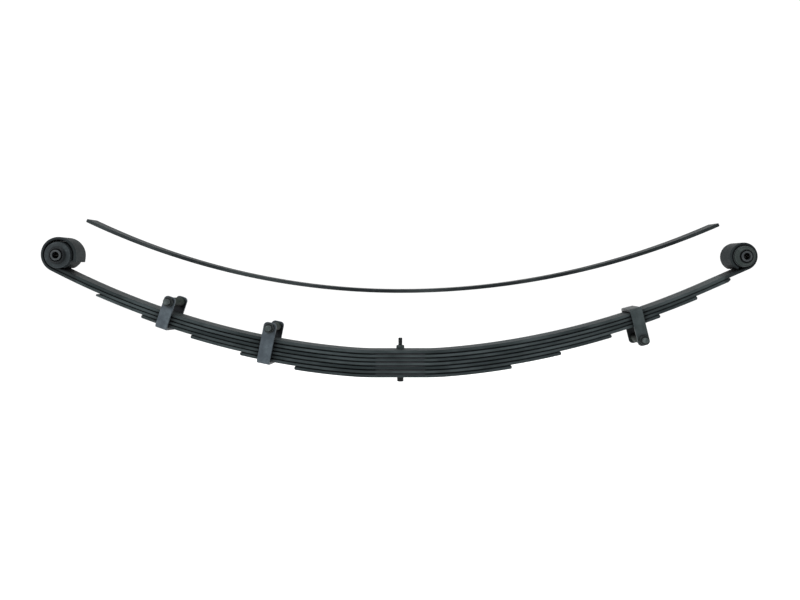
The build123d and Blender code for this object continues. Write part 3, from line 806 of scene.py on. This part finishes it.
def sleeve_steel():
    """Dull turned steel, darkened inside by painted shade, with fine rings left by the tool."""
    nodes = Nodes("sleeve_steel")
    mottle = nodes.noise(110.0, 5.0, 0.6, seed=31.0)
    colour = nodes.mix(nodes.spread(mottle, 0.35, 0.7), *SLEEVE_TONES)
    stains = nodes.spread(nodes.noise(70.0, 6.0, 0.7, seed=33.0), 0.52, 0.72, 0.0, 0.7)
    colour = nodes.mix(stains, colour, rgb(0.018, 0.020, 0.022))
    # painted shade: the bore and the sleeve ends darken where the surface is hemmed in
    colour = nodes.painted_shade(colour, 0.020)
    roughness = nodes.spread(mottle, 0.3, 0.7, 0.40, 0.58)
    rings = nodes.noise(900.0, 2.0, 0.5, (0.15, 1, 0.15), 34.0)
    return nodes.finish(colour, roughness, rings, 0.00008, 0.0, 0.12)


def liner_steel():
    """Plain grey plate, dull and slightly stained."""
    nodes = Nodes("liner_steel")
    mottle = nodes.noise(80.0, 6.0, 0.65, seed=41.0)
    colour = nodes.mix(nodes.spread(mottle, 0.35, 0.7), *LINER_TONES)
    roughness = nodes.spread(mottle, 0.3, 0.7, 0.45, 0.65)
    grain = nodes.noise(1200.0, 3.0, 0.6, seed=42.0)
    return nodes.finish(colour, roughness, grain, 0.00008, 0.3, 0.25)


# ---- the leaves -----------------------------------------------------------------------------------
def build_half_leaf(side, leaf, material):
    """One side of a leaf, from the centre bolt to its eye, wrap or tip."""
    knots = trace((0.0, seat_top(leaf), 0.0), leaf_moves(side, leaf), LEAF_KNOT_SPACING)
    end = knots[-1][1]
    is_tip = leaf in TIP_X[side]
    bevels = SHAPED_TIPS.get((side, leaf), BLUNT_TIP) if is_tip else PLAIN_END
    tip = leaf_tip(end, bevels, TIP_CORNER if is_tip else 0.0)
    knots = with_extra(knots, tip["stops"])
    shell = bar(knots, tip["width_at"], tip["span_at"], LEAF_CORNER, LEAF_EDGE_STEPS, on_side(side))
    word = SIDE_WORD[side]
    obj = shape(f"{LEAF_NODES[leaf]}_{word}", *shell, None, "leaf_paint", material)
    drill(obj, CENTRE_HOLE_RADIUS, -CUT_MARGIN, STACK_HEIGHT + CUT_MARGIN)
    if leaf == 1:
        drill(obj, NUT_SEAT_RADIUS, STACK_HEIGHT - SPOT_FACE_DEPTH, STACK_HEIGHT + CUT_MARGIN)
    if leaf == LEAF_COUNT:
        drill(obj, DOWEL_SEAT_RADIUS, -CUT_MARGIN, SPOT_FACE_DEPTH)
    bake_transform(obj)
    return obj


def leaf_tip(end, bevels, corner):
    """How a leaf narrows towards its end: width and depths by distance, and where knots are needed."""
    edge = END_ROUNDING
    (over, over_length), (under, under_length) = bevels

    def width_at(distance):
        left = end - distance
        narrowed = max(0.0, corner - left)
        return HALF_WIDTH - narrowed - edge * max(0.0, 1 - left / edge)

    def span_at(distance):
        left = end - distance
        top = over * max(0.0, 1 - left / over_length)
        bottom = under * max(0.0, 1 - left / under_length)
        return (top, LEAF_THICKNESS - SKIN_INSET - bottom)

    stops = [end - stop for stop in (over_length, under_length, corner, edge, 0.5 * edge) if stop > 0]
    return {"width_at": width_at, "span_at": span_at, "stops": stops}


def build_extra_leaf(material):
    """The loose leaf: one plain bend each side of its centre hole."""
    rings = {}
    for side in (LEFT, RIGHT):
        radius = EXTRA_TOP_RADIUS[side]
        angle = asin(EXTRA_TIP_X[side] / (radius + LEAF_THICKNESS))
        start = (0.0, EXTRA_BOTTOM_Z + LEAF_THICKNESS, 0.0)
        knots = trace(start, [bend(radius, angle)], LEAF_KNOT_SPACING)
        tip = leaf_tip(knots[-1][1], BLUNT_TIP, TIP_CORNER)
        knots = with_extra(knots, tip["stops"])
        rings[side] = bar_rings(knots, tip["width_at"], tip["span_at"], EXTRA_CORNER,
                                LEAF_EDGE_STEPS, on_side(side))
    from_left_tip = rings[LEFT][:0:-1]
    shell = outward(*skin(from_left_tip + rings[RIGHT]))
    obj = shape("extra_leaf_bar", *shell, None, "leaf_paint", material)
    top = EXTRA_BOTTOM_Z + LEAF_THICKNESS
    drill(obj, CENTRE_HOLE_RADIUS, EXTRA_BOTTOM_Z - CUT_MARGIN, top + CUT_MARGIN)
    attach(obj, "extra_leaf")
    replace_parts(obj, "extra_leaf")


def build_leaves():
    for leaf, node in LEAF_NODES.items():
        material = leaf_paint(f"leaf_paint_{leaf}", LEAF_TONES[leaf % 2], 7.0 * leaf)
        for side in (LEFT, RIGHT):
            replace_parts(build_half_leaf(side, leaf, material), node)
    build_extra_leaf(leaf_paint("leaf_paint_extra", EXTRA_LEAF_TONES, 70.0))


def build_liners(material):
    """Thin plates between the leaves on the seat."""
    for number in range(1, LEAF_COUNT):
        top = seat_top(number) - LEAF_THICKNESS
        knots = trace((-SEAT_HALF, top, 0.0), [straight(2 * SEAT_HALF)], 2 * SEAT_HALF)
        shell = bar(knots, lambda distance: HALF_WIDTH, lambda distance: (0.0, LINER_THICKNESS),
                    LINER_CORNER, LINER_EDGE_STEPS, on_side(RIGHT))
        obj = shape(f"seat_liner_{number}_plate", *shell, "pack", "liner", material)
        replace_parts(obj, f"seat_liner_{number}")


# ---- centre bolt ----------------------------------------------------------------------------------
def build_centre_bolt(material):
    """The stud with its round dowel head below."""
    rod = threaded_rod(BOLT_RADIUS, BOLT_PITCH, 0.0, BOLT_THREAD_START, BOLT_TOP_Z)
    head = stack([
        (DOWEL_RADIUS - DOWEL_BEVEL, -DOWEL_HEIGHT),
        (DOWEL_RADIUS - DOWEL_BEVEL_MIDDLE, -DOWEL_HEIGHT + DOWEL_BEVEL_MIDDLE),
        (DOWEL_RADIUS, -DOWEL_HEIGHT + DOWEL_BEVEL),
        (DOWEL_RADIUS, SPOT_FACE_DEPTH - REST_GAP),
    ])
    bolt = shape("centre_bolt_stud", *together(rod, head), "pack", "bolt_steel", material, radians(30))
    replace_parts(bolt, "centre_bolt")


def build_centre_nut(material):
    """A hexagon nut on a sloping round flange."""
    seat = STACK_HEIGHT - SPOT_FACE_DEPTH + REST_GAP
    bore = BOLT_RADIUS + REST_GAP
    flange = lathe([
        (bore, seat),
        (FLANGE_RADIUS - FLANGE_BEVEL[0], seat),
        (FLANGE_RADIUS, seat + FLANGE_BEVEL[1]),
        (FLANGE_RADIUS - FLANGE_RIM_TAPER, FLANGE_SHOULDER),
        (CENTRE_NUT_FLATS / 2 - FLANGE_OVERLAP, FLANGE_TOP),
        (bore, FLANGE_TOP),
    ])
    hexagon = hexagon_nut(CENTRE_NUT_FLATS, STACK_HEIGHT, CENTRE_NUT_TOP, bore)
    nut = placed(Matrix.Rotation(CENTRE_NUT_TURN, 4, "Z"), together(flange, hexagon))
    nut = shape("centre_nut_flanged", *nut, "pack", "bolt_steel", material, radians(25))
    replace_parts(nut, "centre_nut")


# ---- eyes -----------------------------------------------------------------------------------------
def across_eye(side):
    """The matrix that stands a shell made about Z on an eye's axis, its +Z towards the back."""
    x, z = eye_centre(side)
    return Matrix.Translation((x, 0, z)) @ Matrix.Rotation(-pi / 2, 4, "X")


def build_bushes(side, material):
    """The two halves of an eye's rubber bush, one from each side of the leaf."""
    word = SIDE_WORD[side]
    outline = [
        (BUSH_BORE_RADIUS, BUSH_HALF_GAP),
        (BUSH_PLUG_RADIUS, BUSH_HALF_GAP),
        (BUSH_PLUG_RADIUS, BUSH_PLUG_END),
        (BUSH_FLANGE_RADIUS[side], BUSH_PLUG_END),
        (BUSH_FLANGE_RADIUS[side], BUSH_FLANGE_END[side]),
        (BUSH_HUB_BASE_RADIUS[side], BUSH_FLANGE_END[side]),
        (BUSH_HUB_TIP_RADIUS, BUSH_HUB_END),
        (BUSH_RECESS_RADIUS, BUSH_HUB_END),
        (BUSH_RECESS_RADIUS, BUSH_HUB_END - BUSH_RECESS_DEPTH),
        (BUSH_BORE_RADIUS, BUSH_HUB_END - BUSH_RECESS_DEPTH),
    ]
    for end, face in (("front", -1), ("rear", 1)):
        rounded = fillet([(radius, face * height) for radius, height in outline], BUSH_ROUNDING)
        shell = placed(across_eye(side), lathe(rounded, EYE_SEGMENTS))
        obj = shape(f"{word}_bush_{end}_rubber", *shell, f"{word}_arm", "bush_rubber", material)
        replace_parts(obj, f"{word}_bush_{end}")


def build_sleeve(side, material):
    """The steel tube through an eye."""
    word = SIDE_WORD[side]
    outline = [
        (SLEEVE_INNER_RADIUS, -SLEEVE_HALF_LENGTH),
        (SLEEVE_OUTER_RADIUS, -SLEEVE_HALF_LENGTH),
        (SLEEVE_OUTER_RADIUS, SLEEVE_HALF_LENGTH),
        (SLEEVE_INNER_RADIUS, SLEEVE_HALF_LENGTH),
    ]
    shell = placed(across_eye(side), lathe(fillet(outline, SLEEVE_ROUNDING), EYE_SEGMENTS))
    obj = shape(f"{word}_sleeve_tube", *shell, f"{word}_sleeve", "sleeve_steel", material)
    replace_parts(obj, f"{word}_sleeve")


# ---- clamps ---------------------------------------------------------------------------------------
def knot_at(side, leaf, x):
    """The knot of a leaf's camber bend at a distance x out from the centre bolt."""
    radius, _ = camber(side, leaf)
    x0, z0, start = shoulder_end(side, leaf)
    angle = asin((x - x0) / radius + sin(start))
    return (x, z0 + radius * (cos(start) - cos(angle)), angle)


def clamp_frame(clamp):
    """A clamp's matrix: x along the leaf, y towards the back, z the way its legs reach."""
    knot = knot_at(clamp.side, 1 if clamp.on_top else clamp.lowest_leaf, clamp.x)
    seat_gap = STRAP_SEAT_GAP + clamp.width / 2 * sin(clamp.lean)
    origin_x, origin_z = below(knot, -seat_gap if clamp.on_top else LEAF_THICKNESS + seat_gap)
    slope = clamp.side * (knot[2] - clamp.lean)
    along = Vector((cos(slope), 0, sin(slope))) * cos(clamp.twist) - Vector((0, 1, 0)) * sin(clamp.twist)
    normal = Vector((-sin(slope), 0, cos(slope)))
    if clamp.on_top:
        along, normal = -along, -normal
    back = normal.cross(along)
    matrix = Matrix((along, back, normal)).transposed().to_4x4()
    matrix.translation = (clamp.side * origin_x, 0, origin_z)
    return matrix


def leg_end(clamp):
    """How far a clamp's legs reach from the face that its strap lies against."""
    top_x, top_z = below(knot_at(clamp.side, 1, clamp.x), 0)
    knot = knot_at(clamp.side, clamp.lowest_leaf, clamp.x)
    low_x, low_z = below(knot, LEAF_THICKNESS)
    height = (top_z - low_z) * cos(knot[2]) - (top_x - low_x) * sin(knot[2])
    return height + clamp.legs_past


def build_strap(name, clamp, material):
    """A flat bar bent into a U, its leg ends rounded."""
    inside = HALF_WIDTH + STRAP_SIDE_GAP
    leg = leg_end(clamp) - STRAP_INNER_BEND
    moves = [
        straight(leg),
        bend(STRAP_INNER_BEND, 0.0),
        straight(2 * (inside - STRAP_INNER_BEND)),
        bend(STRAP_INNER_BEND, pi / 2),
        straight(leg),
    ]
    knots = trace((-inside, leg_end(clamp), -pi / 2), moves, STRAP_KNOT_SPACING)
    end = knots[-1][1]
    steps = [STRAP_END_CORNER * (1 - cos(pi / 2 * number / STRAP_END_STEPS))
             for number in range(1, STRAP_END_STEPS + 1)]
    knots = with_extra(knots, steps + [end - step for step in steps])

    def width_at(distance):
        near = min(distance, end - distance)
        short = max(0.0, STRAP_END_CORNER - near)
        return clamp.width / 2 - STRAP_END_CORNER + sqrt(STRAP_END_CORNER ** 2 - short ** 2)

    def span_at(distance):
        near = min(distance, end - distance)
        rounding = STRAP_END_ROUNDING * max(0.0, 1 - near / STRAP_END_ROUNDING_LENGTH)
        return (rounding, STRAP_THICKNESS - rounding)

    matrix = clamp_frame(clamp)
    shell = bar(knots, width_at, span_at, STRAP_EDGE, STRAP_EDGE_STEPS,
                lambda x, across, z: matrix @ Vector((across, x, z)))
    obj = shape(f"{name}_strap_bar", *shell, name, "clamp_paint", material)
    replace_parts(obj, f"{name}_strap")


def clamp_bolt_frame(clamp):
    """The matrix of a clamp's bolt: its +Z runs to the front."""
    height = leg_end(clamp) - CLAMP_BOLT_INSET
    return clamp_frame(clamp) @ Matrix.Translation((0, 0, height)) @ Matrix.Rotation(pi / 2, 4, "X")


def build_clamp_bolt(name, clamp, bolt_material, nut_material):
    """The bolt across a clamp's legs, and its nut with a washer."""
    face = HALF_WIDTH + STRAP_SIDE_GAP + STRAP_THICKNESS
    rod = threaded_rod(CLAMP_BOLT_RADIUS, CLAMP_BOLT_PITCH, -face, face + CLAMP_BOLT_PLAIN,
                       face + CLAMP_BOLT_OVERHANG)
    head = hexagon_nut(CLAMP_NUT_FLATS, -face - CLAMP_HEAD_HEIGHT, -face, 0)
    bolt = placed(clamp_bolt_frame(clamp), together(rod, head))
    bolt = shape(f"{name}_bolt_m10", *bolt, name, "bolt_steel", bolt_material, radians(28))
    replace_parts(bolt, f"{name}_bolt")
    washer = lathe(fillet([
        (WASHER_BORE_RADIUS, face),
        (WASHER_RADIUS, face),
        (WASHER_RADIUS, face + WASHER_THICKNESS),
        (WASHER_BORE_RADIUS, face + WASHER_THICKNESS),
    ], WASHER_ROUNDING))
    nut = hexagon_nut(CLAMP_NUT_FLATS, face + WASHER_THICKNESS, face + CLAMP_NUT_HEIGHT,
                      CLAMP_BOLT_RADIUS + REST_GAP)
    nut = placed(clamp_bolt_frame(clamp), together(washer, nut))
    nut = shape(f"{name}_nut_hexagon", *nut, name, "bolt_steel", nut_material, radians(25))
    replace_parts(nut, f"{name}_nut")


def build_spacer(name, clamp, material):
    """The tube on a clamp's bolt that keeps its legs apart."""
    end = HALF_WIDTH + STRAP_SIDE_GAP - SPACER_END_GAP
    tube = lathe(fillet([
        (SPACER_BORE_RADIUS, -end),
        (SPACER_RADIUS, -end),
        (SPACER_RADIUS, end),
        (SPACER_BORE_RADIUS, end),
    ], SPACER_ROUNDING))
    tube = placed(clamp_bolt_frame(clamp), tube)
    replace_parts(shape(f"{name}_spacer_tube", *tube, name, "bolt_steel", material), f"{name}_spacer")


def build_rivet(name, clamp, material):
    """The rivet that holds a strap to its lowest leaf: a domed head below and a short shank."""
    base = -STRAP_THICKNESS
    side = [(RIVET_CROWN_RADIUS, base - RIVET_HEAD_HEIGHT)]
    for number in reversed(range(RIVET_STEPS)):
        angle = pi / 2 * number / RIVET_STEPS
        side.append((RIVET_HEAD_RADIUS * cos(angle), base - RIVET_HEAD_HEIGHT * sin(angle)))
    side += [(RIVET_RADIUS, base), (RIVET_RADIUS, RIVET_SHANK_TOP)]
    shell = placed(clamp_frame(clamp), stack(side, 48))
    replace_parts(shape(f"{name}_rivet_head", *shell, name, "bolt_steel", material), f"{name}_rivet")


def build_clamps(nut_material, bolt_material, tube_material):
    # painted light: the left straps get the lit copy of the paint and the right strap the shaded copy
    lit_and_shaded_strap_paints = {
        LEFT: clamp_paint("left_strap_paint_lit", LIT_LEFT_STRAP_TONES, 3.0),
        RIGHT: clamp_paint("right_strap_paint_shaded", SHADED_RIGHT_STRAP_TONES, 23.0),
    }
    for name, clamp in CLAMPS.items():
        build_strap(name, clamp, lit_and_shaded_strap_paints[clamp.side])
        build_clamp_bolt(name, clamp, bolt_material, nut_material)
        build_spacer(name, clamp, tube_material)
        if not clamp.on_top:
            build_rivet(name, clamp, nut_material)


# ---- studio ---------------------------------------------------------------------------------------
# in metres and watts
FLOOR_HALF = 40.0
FLOOR_DROP = 0.15              # the floor lies this far under the part
WORLD_STRENGTH = 1.08
LIGHT_TARGET = Vector((0, 0, 0.1))
# place, size and power
SOFTBOXES = {
    "key": ((-1.9, -2.0, 1.5), (1.2, 1.0), 60.0),
    "top": ((0.3, 0.4, 2.4), (2.4, 1.4), 30.0),
    "rim": ((1.6, 1.6, 1.4), (1.2, 1.0), 14.0),
}
CAMERA_PLACE = (-0.0006, -1.824, 0.1978)
CAMERA_LOOKS_DOWN = radians(1.8366)
CAMERA_SENSOR = 36.0           # in millimetres, as the lens
CAMERA_LENS = 44.91


def build_floor():
    """A wide pale floor a little way under the part."""
    level = cad_box[0][2] - FLOOR_DROP
    corners = [(x * FLOOR_HALF, y * FLOOR_HALF, level) for x, y in ((-1, -1), (1, -1), (1, 1), (-1, 1))]
    mesh = bpy.data.meshes.new("floor")
    mesh.from_pydata(corners, [], [(0, 1, 2, 3)])
    floor_object = bpy.data.objects.new("floor", mesh)
    bpy.context.scene.collection.objects.link(floor_object)
    material = bpy.data.materials.new("floor")
    material.use_nodes = True
    surface = material.node_tree.nodes["Principled BSDF"]
    surface.inputs["Base Color"].default_value = rgb(0.96, 0.96, 0.96)
    surface.inputs["Roughness"].default_value = 0.9
    surface.inputs["Specular IOR Level"].default_value = 0.1
    mesh.materials.append(material)


def add_softbox(name, place, size, power):
    data = bpy.data.lights.new(name, "AREA")
    data.shape = "RECTANGLE"
    data.size, data.size_y = size
    data.energy = power
    light = bpy.data.objects.new(name, data)
    light.location = place
    light.rotation_euler = (LIGHT_TARGET - Vector(place)).to_track_quat("-Z", "Y").to_euler()
    bpy.context.scene.collection.objects.link(light)


def build_studio():
    """White surroundings and three soft lights."""
    world = bpy.data.worlds.new("studio")
    world.use_nodes = True
    background = world.node_tree.nodes["Background"]
    background.inputs["Color"].default_value = rgb(1.0, 1.0, 1.0)
    background.inputs["Strength"].default_value = WORLD_STRENGTH
    scene = bpy.context.scene
    scene.world = world
    scene.view_settings.view_transform = "Standard"
    for name, (place, size, power) in SOFTBOXES.items():
        add_softbox(name, place, size, power)


def add_camera():
    data = bpy.data.cameras.new("camera")
    data.sensor_width = CAMERA_SENSOR
    data.lens = CAMERA_LENS
    camera = bpy.data.objects.new("camera", data)
    camera.location = CAMERA_PLACE
    camera.rotation_euler = (pi / 2 - CAMERA_LOOKS_DOWN, 0.0, 0.0)
    bpy.context.scene.collection.objects.link(camera)
    bpy.context.scene.camera = camera


# ---- put it together ------------------------------------------------------------------------------
build_leaves()
build_liners(liner_steel())
# the fourth value is the reach of each material's painted shade; the tube's is long, so its underside
# between the straps is painted darker
nut_steel = fastener_steel("nut_steel", NUT_TONES, 0.10, 0.012, 12.0)
bolt_steel = fastener_steel("bolt_steel", BOLT_TONES, 0.08, 0.008, 52.0)
tube_steel = fastener_steel("tube_steel", TUBE_TONES, 0.02, 0.045, 62.0)
build_centre_bolt(nut_steel)
build_centre_nut(bolt_steel)
bush_rubber = {
    LEFT: rubber("left_bush_rubber", LEFT_BUSH_TONES, 0.0370, 21.0),
    RIGHT: rubber("right_bush_rubber", RIGHT_BUSH_TONES, 0.0415, 25.0),
}
turned_steel = sleeve_steel()
for eye_side in (LEFT, RIGHT):
    build_bushes(eye_side, bush_rubber[eye_side])
    build_sleeve(eye_side, turned_steel)
build_clamps(nut_steel, bolt_steel, tube_steel)
build_floor()
build_studio()
add_camera()
